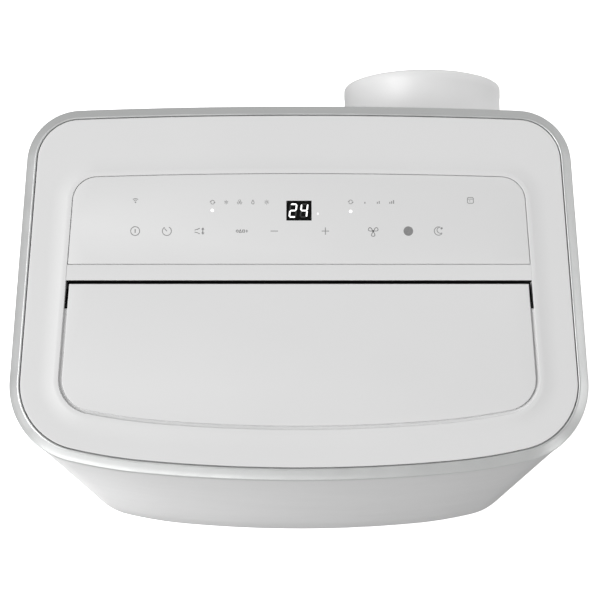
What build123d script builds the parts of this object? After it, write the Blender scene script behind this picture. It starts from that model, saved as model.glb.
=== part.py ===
"""Portable air conditioner: casing, air paths, refrigeration set, louvre, filter, drains and castors.

Millimetres. +Z is up, the front faces -Y, the exhaust collar points to +Y. The origin is the middle of
the bounding box at floor level.
"""
from build123d import *
import os
from math import asin, atan2, cos, pi, sin, sqrt

# ---- Casing outline in plan: a bowed front, sides that narrow towards a nearly flat back ----
FRONT_Y = -196.0             # middle of the front edge
FRONT_CORNER = (254.3, -173.4)   # half width and Y where side and front would meet
REAR_Y = 134.7               # middle of the back edge
REAR_CORNER = (237.0, 129.1)     # half width and Y where side and back would meet
FRONT_BLEND = (134.0, 467.0)     # half width of the flattest part of the front, radius beyond it
FRONT_RADIUS = 68.0
REAR_RADIUS = 48.0
SPLIT_Y = 20.0               # seam between front and rear shells
REAR_SPLIT_Z = 362.0         # seam between the upper and lower rear shells
SEAM = 0.3                   # half of a visible parting gap

# ---- Heights ----
FLOOR_GAP = 50.0             # underside of the base pan
SHELL_LOW = 52.0
RIM_LOW = 694.0
RIM_TOP = 712.5
COVER_Z = 713.0              # flat border of the top cover
TOP_Z = 715.0                # raised middle of the cover, panel and louvre
LEDGE_Z = 706.0              # where the cover rests in the rim ring
DIVIDER_Z = 366.0

# ---- Casing walls, as distances in from the outline ----
SHELL_OUT = 0.8
SHELL_IN = 3.8
RIM_SLOPE_WIDTH = 8.0        # plan width of the ring's sloping face
RIM_SLOPE_DROP = 7.0
RIM_BORE = 9.5               # upper opening that takes the cover
RIM_INNER = 20.0             # lower opening of the ledge
COVER_EDGE = 10.5
PAN_OUT = 7.0
PAN_WALL = 2.5
PAN_FLOOR = 4.0
PAN_TOP = 78.0
FOOT_Z = (56.0, 60.0)        # inner flange at the bottom of the shells
TRAY_OUT = 6.5               # divider tray, as a distance in from the outline
TRAY_WALL = 2.5
TRAY_FLOOR = 3.5
TRAY_HEIGHT = 14.0

# ---- Raised middle of the top: control panel behind, louvre in front ----
WELL_FRONT_Y = -153.2
WELL_FRONT_CORNER = (209.0, -138.2)
WELL_FRONT_BLEND = (117.0, 562.0)
WELL_REAR_Y = 71.9
WELL_REAR_CORNER = (196.6, 68.4)
WELL_FRONT_RADIUS = 30.5
WELL_REAR_RADIUS = 22.0
PLATEAU_GROW = 16.0          # foot of the cove around the raised middle
PANEL_FRONT_Y = -9.3
PANEL_GAP = 0.5
DISPLAY = (21.3, 17.0)       # window, X by Y
DISPLAY_Y = 38.5
PANEL_SEAT = 2.8             # depth of the panel's recess
PANEL_THICK = 2.6
BOARD_X = (-160.0, 160.0)
BOARD_Y = (4.0, 62.0)
BOARD_Z = (702.0, 703.6)

# ---- Louvre flap ----
SLOT_REAR_Y = -23.7          # rear edge of the louvre opening
FLAP_REAR_Y = -26.3
FLAP_INSET = 3.0             # gap at the sides and front
FLAP_THICK = 3.0
PIVOT_Y = -44.0
PIVOT_Z = 707.0
PIN_RADIUS = 2.5
RUNNING = 0.05               # radial clearance of pins and shafts that turn
LUG_X = 186.0
LUG_THICK = 6.0
BUSH_X = 204.0
BUSH_LENGTH = 6.6
BUSH_RADIUS = 4.5
RIB_XS = (-120.0, -60.0, 0.0, 60.0, 120.0)
RIB_Y = (-132.0, -62.0)
RIB_LOW = 708.0
LOUVRE_LEDGE = 8.0           # width of the ledge under the flap's edge
LOUVRE_LEDGE_Z = 711.4
FLAP_MOTOR_RADIUS = 11.8
FLAP_MOTOR_X = (211.2, 225.5)
FLAP_MOTOR_DROP = 9.0        # motor body below its shaft

# ---- Outlet duct and guide vanes ----
DUCT_LOW = 600.0
DUCT_TOP = 686.0
VANE_XS = (-140.0, -70.0, 0.0, 70.0, 140.0)
VANE_Z = 660.0
VANE_CRANK = 14.0
VANE_Y = (-128.0, -36.0)
LINK_Y = (-33.0, -30.5)

# ---- Upper (room air) blower ----
ROOM_X = -40.0
ROOM_Z = 500.0
ROOM_WHEEL = 95.0
ROOM_SCROLL = 125.0
ROOM_Y = (-122.0, -24.0)
ROOM_WHEEL_Y = (-112.0, -34.0)
ROOM_INLET = 78.0
ROOM_BLADES = 30
ROOM_MOTOR = 40.0
ROOM_MOTOR_Y = (-182.0, -122.0)
PLENUM_X = (-212.0, 28.0)
PLENUM_Y = (-18.0, 86.0)
PLENUM_Z = (398.0, 642.0)
EVAPORATOR = ((-220.0, 30.0), (88.0, 112.0), (396.0, 644.0))
EVAPORATOR_FINS = 26

# ---- Lower (hot side) blower and exhaust ----
PORT_X = 118.5
PORT_Z = 533.0
HOT_Z = 225.0
HOT_WHEEL = 80.0
HOT_SCROLL = 100.0
HOT_Y = (0.0, 80.0)
HOT_WHEEL_Y = (8.0, 72.0)
HOT_INLET = 64.0
HOT_BLADES = 26
HOT_MOTOR = 38.0
HOT_MOTOR_Y = (-68.0, 0.0)
FAN_SHAFT = 4.0
CONDENSER = ((-198.0, 198.0), (92.0, 117.0), (100.0, 340.0))
CONDENSER_FINS = 38
EXHAUST_X = (46.0, 191.0)
EXHAUST_TOP = 612.0
SPIGOT_RADIUS = 71.0
SPIGOT_WALL = 3.0
SPIGOT_END = 150.0
PORT_RING_RADIUS = 88.0
PORT_RING_END = 140.0
PORT_CUT = 73.0
COLLAR_RADIUS = 75.0
COLLAR_WALL = 3.4
COLLAR_Y = (141.0, 196.0)

# ---- Rear openings ----
UPPER_WINDOW = (-205.0, 22.0, 402.0, 640.0)    # X low, X high, Z low, Z high
LOWER_WINDOW = (-190.0, 190.0, 104.0, 336.0)
GRILLE_PITCH = 9.0
GRILLE_SLOT = 5.2
FILTER_Y = (116.8, 121.3)
UPPER_FILTER = (-218.0, 20.0, 397.5, 643.5)
FILTER_TAB = 7.0
LOWER_FILTER = (-186.0, 186.0, 104.0, 336.0)
LOWER_FILTER_Y = (119.0, 122.5)
MIDDLE_DRAIN = (150.0, 376.0)                  # X, Z
LOWER_DRAIN = (-150.0, 66.0)
SPOUT_RADIUS = 8.0
SPOUT_BORE = 6.0
SPOUT_END = 142.0
GLAND = (112.0, 89.0)
GLAND_RADIUS = 9.0
GLAND_FLANGE = 13.0
GLAND_BORE = 4.0
SCREW_HEAD = 4.0
SCREW_SHANK = 1.9
SCREW_XZ = [(x, z) for z in (82.0, 352.0, 668.0) for x in (-160.0, 0.0, 160.0)]

# ---- Grip recesses in the sides ----
GRIP_Y = (-95.0, -5.0)
GRIP_Z = (560.0, 600.0)
GRIP_DEPTH = 33.0
GRIP_WALL = 3.0

# ---- Refrigeration set and electrics ----
COMPRESSOR = (-140.0, -95.0)                   # X, Y
COMPRESSOR_RADIUS = 55.0
COMPRESSOR_Z = (69.0, 262.0)
COMPRESSOR_PLATE = (60.0, 66.0, 5.0)           # radius, Z, thickness
FOOT_CIRCLE = 66.0
ACCUMULATOR = (-58.0, -132.0)
ACCUMULATOR_RADIUS = 24.0
ACCUMULATOR_Z = (92.0, 222.0)
PIPE_RADIUS = 4.0
DISCHARGE_TOP = 320.0
SUCTION_TOPS = (342.0, 386.0)
SUCTION_SIDE_X = -196.0
BOX_X = (60.0, 200.0)
BOX_Y = (-160.0, -96.0)
BOX_Z = (120.0, 300.0)

# ---- Castors ----
CASTORS = ((-190.0, -120.0), (190.0, -120.0), (-185.0, 85.0), (185.0, 85.0))
CASTOR_WHEEL = 19.0
CASTOR_WIDTH = 16.0
CASTOR_TRAIL = 11.0
CASTOR_STEM = 5.0
CASTOR_AXLE = 3.0
CASTOR_CROWN_Z = (41.2, 45.0)
CASTOR_SOCKET = 17.0
CASTOR_SOCKET_LOW = 45.6

WALL = 2.5                   # ducts and blower housings
FAR = 400.0                  # beyond the casing on every side
UP = (Align.CENTER, Align.CENTER, Align.MIN)


# ---------------------------------------------------------------- small helpers
def block(x, y, z):
    """Box between two limits on each axis."""
    size = (x[1] - x[0], y[1] - y[0], z[1] - z[0])
    low = (Align.MIN, Align.MIN, Align.MIN)
    return Pos(x[0], y[0], z[0]) * Box(*size, align=low)


def rod_x(radius, x, y, z):
    return Pos(x[0], y, z) * Rot(0, 90, 0) * Cylinder(radius, x[1] - x[0], align=UP)


def rod_y(radius, x, y, z):
    return Pos(x, y[0], z) * Rot(-90, 0, 0) * Cylinder(radius, y[1] - y[0], align=UP)


def rod_z(radius, x, y, z):
    return Pos(x, y, z[0]) * Cylinder(radius, z[1] - z[0], align=UP)


def ring_y(outer, inner, x, y, z):
    return rod_y(outer, x, y, z) - rod_y(inner, x, (y[0] - 1, y[1] + 1), z)


def front_half(front_y, corner, blend, rear_corner):
    """Right half of the front edge: start, middle and end of the tighter arc that meets the side."""
    half_width, radius = blend
    sag = corner[1] - front_y
    flat_radius = (corner[0] ** 2 + sag ** 2) / (2 * sag)
    turn = asin(half_width / flat_radius)
    centre_x = (flat_radius - radius) * sin(turn)
    centre_y = front_y + flat_radius - (flat_radius - radius) * cos(turn)
    side_x, side_y = rear_corner[0] - corner[0], rear_corner[1] - corner[1]
    length = sqrt(side_x ** 2 + side_y ** 2)
    side_x, side_y = side_x / length, side_y / length
    off_x, off_y = corner[0] - centre_x, corner[1] - centre_y
    along = off_x * side_x + off_y * side_y
    travel = -along - sqrt(along ** 2 - off_x ** 2 - off_y ** 2 + radius ** 2)
    end = (corner[0] + side_x * travel, corner[1] + side_y * travel)
    first, last = turn - pi / 2, atan2(end[1] - centre_y, end[0] - centre_x)
    middle = (first + last) / 2
    start = (centre_x + radius * cos(first), centre_y + radius * sin(first))
    return start, (centre_x + radius * cos(middle), centre_y + radius * sin(middle)), end


def rounded_plan(front_y, front_corner, front_blend, rear_y, rear_corner, front_radius, rear_radius):
    """Face with a bowed front, a shallow arc behind, straight sides and four round corners."""
    start, middle, end = front_half(front_y, front_corner, front_blend, rear_corner)
    rear_left, rear_right = (-rear_corner[0], rear_corner[1]), rear_corner
    left_start, left_middle, left_end = [(-x, y) for x, y in (start, middle, end)]
    edges = [
        ThreePointArc(left_start, (0, front_y), start),
        ThreePointArc(start, middle, end),
        Line(end, rear_right),
        ThreePointArc(rear_right, (0, rear_y), rear_left),
        Line(rear_left, left_end),
        ThreePointArc(left_end, left_middle, left_start),
    ]
    face = make_face(edges).face()
    corners = face.vertices().sort_by(Axis.Y)
    face = face.fillet_2d(front_radius, corners[2:4])
    corners = face.vertices().sort_by(Axis.Y)
    return face.fillet_2d(rear_radius, corners[-2:])


CASE_PLAN = rounded_plan(
    FRONT_Y, FRONT_CORNER, FRONT_BLEND, REAR_Y, REAR_CORNER, FRONT_RADIUS, REAR_RADIUS
)
WELL_PLAN = rounded_plan(
    WELL_FRONT_Y,
    WELL_FRONT_CORNER,
    WELL_FRONT_BLEND,
    WELL_REAR_Y,
    WELL_REAR_CORNER,
    WELL_FRONT_RADIUS,
    WELL_REAR_RADIUS,
)


def raised(plan, grow, low, high):
    face = offset(plan, amount=grow) if grow else plan
    return Pos(0, 0, low) * extrude(face, amount=high - low, dir=(0, 0, 1))


def case(inset, low, high):
    """Casing outline moved in by an inset, between two heights."""
    return raised(CASE_PLAN, -inset, low, high)


def well(grow, low, high):
    """Outline of the raised middle, between two heights."""
    return raised(WELL_PLAN, grow, low, high)


def in_front_of(y):
    return block((-FAR, FAR), (-FAR, y), (-10, 1000))


def behind(y):
    return block((-FAR, FAR), (y, FAR), (-10, 1000))


def face_y(x, inset=SHELL_OUT):
    """Y of the casing's back at a given X, on its shallow arc."""
    sag = REAR_Y - REAR_CORNER[1]
    radius = (REAR_CORNER[0] ** 2 + sag ** 2) / (2 * sag)
    return REAR_Y - inset - (radius - sqrt(radius ** 2 - x ** 2))


# ---------------------------------------------------------------- casing
def make_base_pan():
    hollow = case(PAN_OUT + PAN_WALL, FLOOR_GAP + PAN_FLOOR, PAN_TOP + 5)
    pan = case(PAN_OUT, FLOOR_GAP, PAN_TOP) - hollow
    x, z = LOWER_DRAIN
    pan = pan + rod_y(SPOUT_RADIUS, x, (118, SPOUT_END), z)
    return pan - rod_y(SPOUT_BORE, x, (110, SPOUT_END + 5), z)


def make_shell_wall():
    wall = case(SHELL_OUT, SHELL_LOW, RIM_LOW) - case(SHELL_IN, SHELL_LOW - 5, RIM_LOW + 5)
    foot = case(SHELL_IN - 0.5, *FOOT_Z) - case(PAN_OUT, FOOT_Z[0] - 5, FOOT_Z[1] + 5)
    return wall + foot


def grip_window(side):
    x = (200, 260) if side > 0 else (-260, -200)
    return block(x, GRIP_Y, GRIP_Z)


def make_front_shell(wall):
    shell = wall & in_front_of(SPLIT_Y - SEAM)
    lip = case(SHELL_IN - 0.5, 70, 690) - case(SHELL_IN + 1.8, 60, 700)
    lip = lip & block((-FAR, FAR), (SPLIT_Y - 12, SPLIT_Y - SEAM), (60, 700))
    tongue = case(SHELL_IN + 0.3, 70, 690) - case(SHELL_IN + 1.8, 60, 700)
    tongue = tongue & block((-FAR, FAR), (SPLIT_Y - 1, SPLIT_Y + 8), (60, 700))
    return shell + lip + tongue - grip_window(1) - grip_window(-1)


def window(limits, gap=0.0):
    x_low, x_high, z_low, z_high = limits
    return block((x_low + gap, x_high - gap), (60, 200), (z_low + gap, z_high - gap))


def filter_slot():
    z = (UPPER_WINDOW[2] - 5.5, UPPER_WINDOW[3] + 5.5)
    return block((-260, -200), (FILTER_Y[0] - 0.6, FILTER_Y[1] + 0.6), z)


def make_rear_shells(wall):
    shell = wall & behind(SPLIT_Y + SEAM)
    shell = shell - window(UPPER_WINDOW) - window(LOWER_WINDOW) - filter_slot()
    shell = shell - rod_y(PORT_CUT, PORT_X, (100, 150), PORT_Z)
    for x, z in (MIDDLE_DRAIN, LOWER_DRAIN):
        shell = shell - rod_y(SPOUT_RADIUS + 0.5, x, (100, 150), z)
    shell = shell - rod_y(GLAND_RADIUS, GLAND[0], (100, 150), GLAND[1])
    for x, z in SCREW_XZ:
        shell = shell - rod_y(SCREW_SHANK, x, (100, 150), z)
    upper = shell & block((-FAR, FAR), (-FAR, FAR), (REAR_SPLIT_Z + SEAM, RIM_TOP))
    lower = shell & block((-FAR, FAR), (-FAR, FAR), (0, REAR_SPLIT_Z - SEAM))
    return upper, lower


def make_grille(limits, columns):
    """Flush slatted panel that fills a window of the rear shell."""
    x_low, x_high, z_low, z_high = limits
    panel = case(SHELL_OUT, z_low - 5, z_high + 5) - case(SHELL_IN, z_low - 9, z_high + 9)
    panel = panel & window(limits, SEAM)
    border = 9.0
    rib = 4.0
    cell = (x_high - x_low - 2 * border + rib) / columns
    rows = int((z_high - z_low - 2 * border) // GRILLE_PITCH)
    first = (z_low + z_high - rows * GRILLE_PITCH + (GRILLE_PITCH - GRILLE_SLOT)) / 2
    cuts = []
    for column in range(columns):
        left = x_low + border + column * cell
        for row in range(rows):
            low = first + row * GRILLE_PITCH
            cuts.append(block((left, left + cell - rib), (100, 160), (low, low + GRILLE_SLOT)))
    return panel - cuts


def make_rim_ring():
    ring = case(0, RIM_LOW, RIM_TOP)
    top = ring.faces().sort_by(Axis.Z)[-1]
    ring = chamfer(top.edges(), length=RIM_SLOPE_WIDTH, length2=RIM_SLOPE_DROP, reference=top)
    return ring - case(RIM_BORE, LEDGE_Z, RIM_TOP + 5) - case(RIM_INNER, RIM_LOW - 5, RIM_TOP + 5)


# ---------------------------------------------------------------- top
def make_top_cover():
    cover = case(COVER_EDGE, LEDGE_Z, COVER_Z) - case(COVER_EDGE + 3, LEDGE_Z - 5, COVER_Z - 3)
    for step in range(4):
        rise = (TOP_Z - COVER_Z) / 4
        low = COVER_Z + step * rise
        cover = cover + well(PLATEAU_GROW - 3.6 * step, low - 0.5, low + rise)
    louvre_side = in_front_of(SLOT_REAR_Y)
    frame = well(3, 700, COVER_Z) & in_front_of(SLOT_REAR_Y + 3)
    cover = cover + frame
    for side in (-1, 1):
        x = sorted((side * BUSH_X, side * (BUSH_X + BUSH_LENGTH)))
        cover = cover + block(x, (PIVOT_Y - 8, PIVOT_Y + 8), (699, 711))
    cover = cover - (well(0, LOUVRE_LEDGE_Z, TOP_Z + 5) & louvre_side)
    cover = cover - (well(-LOUVRE_LEDGE, 690, TOP_Z) & louvre_side)
    clear = well(0, 690, TOP_Z) & block((-300, 300), (PIVOT_Y - 4, SLOT_REAR_Y), (690, 720))
    cover = cover - clear
    cover = cover - (well(0, TOP_Z - PANEL_SEAT, TOP_Z + 5) & behind(PANEL_FRONT_Y))
    half_x, half_y = DISPLAY[0] / 2 + 3, DISPLAY[1] / 2 + 3
    hole = block((-half_x, half_x), (DISPLAY_Y - half_y, DISPLAY_Y + half_y), (700, 720))
    return cover - hole - rod_x(BUSH_RADIUS, (-230, 230), PIVOT_Y, PIVOT_Z)


def display_block(gap, low, high):
    half_x, half_y = DISPLAY[0] / 2 + gap, DISPLAY[1] / 2 + gap
    return block((-half_x, half_x), (DISPLAY_Y - half_y, DISPLAY_Y + half_y), (low, high))


def make_control_panel():
    plate = well(-PANEL_GAP, TOP_Z - PANEL_THICK, TOP_Z) & behind(PANEL_FRONT_Y + PANEL_GAP)
    return plate - display_block(0, 700, 720)


def make_control_board():
    board = block(BOARD_X, BOARD_Y, BOARD_Z)
    return board + display_block(-1, BOARD_Z[0] + 1, TOP_Z - PANEL_SEAT)


def make_flap():
    flap = well(-FLAP_INSET, TOP_Z - FLAP_THICK, TOP_Z) & in_front_of(FLAP_REAR_Y)
    for x in RIB_XS:
        flap = flap + block((x - 1, x + 1), RIB_Y, (RIB_LOW, TOP_Z - 1))
    for side in (-1, 1):
        x = sorted((side * LUG_X, side * (LUG_X + LUG_THICK)))
        flap = flap + rod_x(5, x, PIVOT_Y, PIVOT_Z)
        flap = flap + block(x, (PIVOT_Y - 5, PIVOT_Y + 5), (PIVOT_Z, TOP_Z - 1))
        pin = sorted((side * (LUG_X + 1), side * (BUSH_X + 5)))
        flap = flap + rod_x(PIN_RADIUS, pin, PIVOT_Y, PIVOT_Z)
    return flap


def make_flap_bushes():
    bushes = []
    for side in (-1, 1):
        x = sorted((side * BUSH_X, side * (BUSH_X + BUSH_LENGTH)))
        hole = rod_x(PIN_RADIUS + RUNNING, (x[0] - 1, x[1] + 1), PIVOT_Y, PIVOT_Z)
        bushes.append(rod_x(BUSH_RADIUS, x, PIVOT_Y, PIVOT_Z) - hole)
    return bushes


def make_flap_motor():
    """Small geared stepper whose shaft sits off its centre, in line with the louvre pin."""
    body = rod_x(FLAP_MOTOR_RADIUS, FLAP_MOTOR_X, PIVOT_Y, PIVOT_Z - FLAP_MOTOR_DROP)
    shaft = rod_x(2.0, (FLAP_MOTOR_X[0] - 1.8, FLAP_MOTOR_X[0] + 0.8), PIVOT_Y, PIVOT_Z)
    return body + shaft


def make_outlet_duct():
    outer = well(-8, DUCT_LOW, 707.3) & in_front_of(SLOT_REAR_Y - 0.3)
    inner = well(-8 - WALL, DUCT_LOW + WALL, 720) & in_front_of(SLOT_REAR_Y - 0.3 - WALL)
    duct = outer - inner
    duct = duct - block((-300, 300), (-64, 0), (DUCT_TOP, 720))
    rail = block((-200, 200), (-132.5, -129.5), (VANE_Z - 5, VANE_Z + 5))
    duct = duct + (rail & outer)
    mouth_x = (ROOM_X - ROOM_SCROLL + WALL, ROOM_X + ROOM_SCROLL - WALL)
    duct = duct - block(mouth_x, (ROOM_Y[0] + WALL, ROOM_Y[1] - WALL), (DUCT_LOW - 5, DUCT_LOW + 5))
    for x in VANE_XS:
        duct = duct - rod_y(2 + RUNNING, x, (-133, -129), VANE_Z)
        duct = duct - rod_y(2 + RUNNING, x, (-28, -20), VANE_Z)
    return duct


def make_guide_vane(x):
    vane = block((x - 1, x + 1), VANE_Y, (VANE_Z - 15, VANE_Z + 22))
    vane = fillet(vane.edges().filter_by(Axis.X), 6)
    vane = vane + rod_y(3, x, VANE_Y, VANE_Z)
    vane = vane + rod_y(2, x, (VANE_Y[0] - 4.5, VANE_Y[1] + 11.5), VANE_Z)
    return vane + rod_y(1.5, x, (VANE_Y[1] - 4, LINK_Y[1] + 1), VANE_Z + VANE_CRANK)


def make_vane_link():
    z = VANE_Z + VANE_CRANK
    link = block((VANE_XS[0] - 5, VANE_XS[-1] + 5), LINK_Y, (z - 3, z + 3))
    for x in VANE_XS:
        link = link - rod_y(1.5 + RUNNING, x, (LINK_Y[0] - 1, LINK_Y[1] + 1), z)
    return link


# ---------------------------------------------------------------- blowers
def scroll(x, z, radius, chute_x, top, y):
    """Round volute with an upright chute, cut off level at the chute's mouth."""
    volute = rod_y(radius, x, y, z) + block(chute_x, y, (z, top))
    return volute & block((-FAR, FAR), (-FAR, FAR), (-10, top))


def make_room_housing():
    half = ROOM_SCROLL
    outer = scroll(ROOM_X, ROOM_Z, half, (ROOM_X - half, ROOM_X + half), DUCT_LOW, ROOM_Y)
    half = half - WALL
    inner_y = (ROOM_Y[0] + WALL, ROOM_Y[1] - WALL)
    inner = scroll(ROOM_X, ROOM_Z, half, (ROOM_X - half, ROOM_X + half), DUCT_LOW + 9, inner_y)
    housing = outer - inner - rod_y(ROOM_INLET, ROOM_X, (ROOM_Y[1] - 9, ROOM_Y[1] + 9), ROOM_Z)
    return housing - rod_y(6, ROOM_X, (ROOM_Y[0] - 9, ROOM_Y[0] + 9), ROOM_Z)


def make_hot_housing():
    chute = EXHAUST_X
    outer = scroll(PORT_X, HOT_Z, HOT_SCROLL, chute, DIVIDER_Z - 2, HOT_Y)
    inner_chute = (chute[0] + WALL, chute[1] - WALL)
    inner_y = (HOT_Y[0] + WALL, HOT_Y[1] - WALL)
    inner = scroll(PORT_X, HOT_Z, HOT_SCROLL - WALL, inner_chute, DIVIDER_Z + 9, inner_y)
    housing = outer - inner - rod_y(HOT_INLET, PORT_X, (HOT_Y[1] - 9, HOT_Y[1] + 9), HOT_Z)
    return housing - rod_y(6, PORT_X, (HOT_Y[0] - 9, HOT_Y[0] + 9), HOT_Z)


def make_blower_wheel(x, z, radius, y, blades):
    """Squirrel-cage wheel: back plate, hub, blades between the plate and an end ring."""
    depth = 12.0
    wheel = rod_y(radius, x, (y[0], y[0] + 2), z) + rod_y(14, x, (y[0], y[0] + 34), z)
    wheel = wheel + ring_y(radius, radius - depth, x, (y[1] - 4, y[1]), z)
    parts = []
    for index in range(blades):
        angle = 360.0 * index / blades
        blade = Box(depth - 1, y[1] - y[0] - 2, 1.6)
        place = Pos(x, (y[0] + y[1]) / 2, z) * Rot(0, angle, 0) * Pos(radius - depth / 2 - 0.4, 0, 0)
        parts.append(place * Rot(0, 22, 0) * blade)
    wheel = wheel + parts
    return wheel - rod_y(FAN_SHAFT, x, (y[0] - 5, y[1] + 5), z)


def make_fan_motor(x, z, radius, y):
    body = rod_y(radius, x, y, z)
    rim = body.edges().filter_by(GeomType.CIRCLE).sort_by(Axis.Y)
    body = fillet(rim[0], 8)
    return body - rod_y(FAN_SHAFT + RUNNING, x, (y[0] - 5, y[1] + 5), z)


def make_coil(x, y, z, fins):
    """Finned heat exchanger: upright fins on level tubes."""
    step = (x[1] - x[0] - 2) / (fins - 1)
    plates = [block((x[0] + i * step, x[0] + i * step + 2), y, z) for i in range(fins)]
    rows = 6
    gap = (z[1] - z[0]) / rows
    middle = (y[0] + y[1]) / 2
    tubes = [rod_x(4.5, x, middle, z[0] + (row + 0.5) * gap) for row in range(rows)]
    coil = plates[0] + plates[1:] + tubes
    return coil


def make_plenum():
    x, y, z = PLENUM_X, PLENUM_Y, PLENUM_Z
    box = block(x, y, z)
    inner = block((x[0] + WALL, x[1] - WALL), (y[0] + WALL, y[1] + 9), (z[0] + WALL, z[1] - WALL))
    return box - inner - rod_y(ROOM_INLET, ROOM_X, (y[0] - 5, y[0] + 9), ROOM_Z)


def make_exhaust_duct():
    outer = block(EXHAUST_X, HOT_Y, (DIVIDER_Z - 2, EXHAUST_TOP))
    inner_x = (EXHAUST_X[0] + WALL, EXHAUST_X[1] - WALL)
    inner_y = (HOT_Y[0] + WALL, HOT_Y[1] - WALL)
    duct = outer - block(inner_x, inner_y, (DIVIDER_Z - 9, EXHAUST_TOP - WALL))
    duct = duct + rod_y(SPIGOT_RADIUS, PORT_X, (HOT_Y[1] - 1, SPIGOT_END), PORT_Z)
    return duct - rod_y(SPIGOT_RADIUS - SPIGOT_WALL, PORT_X, (HOT_Y[1] - 9, SPIGOT_END + 9), PORT_Z)


def make_port_ring():
    ring = ring_y(PORT_RING_RADIUS, SPIGOT_RADIUS + 0.5, PORT_X, (126, PORT_RING_END), PORT_Z)
    return ring - case(SHELL_OUT, 400, 680)


def make_collar():
    return ring_y(COLLAR_RADIUS, COLLAR_RADIUS - COLLAR_WALL, PORT_X, COLLAR_Y, PORT_Z)


# ---------------------------------------------------------------- refrigeration set
def compressor_feet_places():
    x, y = COMPRESSOR
    turns = [a * pi / 180 for a in (90, 210, 330)]
    return [(x + FOOT_CIRCLE * cos(a), y + FOOT_CIRCLE * sin(a)) for a in turns]


def make_compressor():
    x, y = COMPRESSOR
    can = rod_z(COMPRESSOR_RADIUS, x, y, COMPRESSOR_Z)
    ends = can.edges().filter_by(GeomType.CIRCLE)
    can = fillet(ends, 24)
    radius, low, thick = COMPRESSOR_PLATE
    plate = Pos(x, y, low) * Cylinder(radius, thick, align=UP)
    for foot_x, foot_y in compressor_feet_places():
        plate = plate + rod_z(13, foot_x, foot_y, (low, low + thick))
    for foot_x, foot_y in compressor_feet_places():
        plate = plate - rod_z(4, foot_x, foot_y, (low - 6, low + 14))
    return can + plate


def make_compressor_feet():
    feet = []
    for x, y in compressor_feet_places():
        low, thick = COMPRESSOR_PLATE[1:]
        foot = rod_z(11, x, y, (FLOOR_GAP + PAN_FLOOR, low)) + rod_z(4, x, y, (low - 6, low + 8))
        feet.append(foot + rod_z(7, x, y, (low + thick, low + thick + 4)))
    return feet


def make_accumulator():
    x, y = ACCUMULATOR
    can = rod_z(ACCUMULATOR_RADIUS, x, y, ACCUMULATOR_Z)
    return fillet(can.edges().filter_by(GeomType.CIRCLE), 14)


def make_pipe(points, bend):
    path = FilletPolyline(*points, radius=bend)
    start = Plane(origin=points[0], z_dir=Vector(*points[1]) - Vector(*points[0]))
    return sweep(start * Circle(PIPE_RADIUS), path=path)


def make_discharge_pipe():
    x, y = COMPRESSOR
    x, top = x - 10, COMPRESSOR_Z[1]
    coil_y = CONDENSER[1][0]
    return make_pipe([(x, y, top), (x, y, DISCHARGE_TOP), (x, coil_y, DISCHARGE_TOP)], 24)


def make_suction_pipe():
    x, y = ACCUMULATOR
    low, high = SUCTION_TOPS
    side, end_y = SUCTION_SIDE_X, 100.0
    points = [(x, y, ACCUMULATOR_Z[1]), (x, y, low), (side, y, low), (side, y, high), (side, end_y, high)]
    return make_pipe(points, 18)


def make_divider_tray():
    hollow = case(TRAY_OUT + TRAY_WALL, DIVIDER_Z + TRAY_FLOOR, DIVIDER_Z + TRAY_HEIGHT + 5)
    tray = case(TRAY_OUT, DIVIDER_Z, DIVIDER_Z + TRAY_HEIGHT) - hollow
    x, z = MIDDLE_DRAIN
    tray = tray + rod_y(SPOUT_RADIUS, x, (118, SPOUT_END), z)
    tray = tray - rod_y(SPOUT_BORE, x, (110, SPOUT_END + 5), z)
    passage = block((EXHAUST_X[0] - 1, EXHAUST_X[1] + 1), (HOT_Y[0] - 1, HOT_Y[1] + 1), (350, 390))
    return tray - passage - rod_z(8, SUCTION_SIDE_X, ACCUMULATOR[1], (350, 390))


# ---------------------------------------------------------------- small parts
def make_filter(limits, y, tab=0.0):
    """Rigid frame with crossing ribs and a thin mesh."""
    x_low, x_high, z_low, z_high = limits
    border = 7.0
    x, z = (x_low + border, x_high - border), (z_low + border, z_high - border)
    frame = block((x_low, x_high), y, (z_low, z_high)) - block(x, (y[0] - 1, y[1] + 1), z)
    middle = (y[0] + y[1]) / 2
    frame = frame + block((x_low + 1, x_high - 1), (middle - 0.3, middle + 0.3), (z_low + 1, z_high - 1))
    ribs_x = int((x_high - x_low) // 45)
    ribs_z = int((z_high - z_low) // 45)
    for i in range(1, ribs_x):
        at = x_low + (x_high - x_low) * i / ribs_x
        frame = frame + block((at - 1, at + 1), (middle - 1.4, middle + 1.4), (z_low + 1, z_high - 1))
    for i in range(1, ribs_z):
        at = z_low + (z_high - z_low) * i / ribs_z
        frame = frame + block((x_low + 1, x_high - 1), (middle - 1.4, middle + 1.4), (at - 1, at + 1))
    if tab:
        centre = (z_low + z_high) / 2
        frame = frame + block((x_low - tab, x_low + 1), y, (centre - 22, centre + 22))
    return frame


def make_drain_plug(x, z):
    plug = rod_y(SPOUT_BORE - 0.4, x, (SPOUT_END - 12, SPOUT_END + 1), z)
    return plug + rod_y(10, x, (SPOUT_END + 0.4, SPOUT_END + 5), z)


def make_cord_gland():
    x, z = GLAND
    gland = rod_y(GLAND_RADIUS, x, (122, 135), z)
    flange = rod_y(GLAND_FLANGE, x, (127, 134.5), z) - case(SHELL_OUT, 50, 120)
    return gland + flange - rod_y(GLAND_BORE, x, (100, 150), z)


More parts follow.
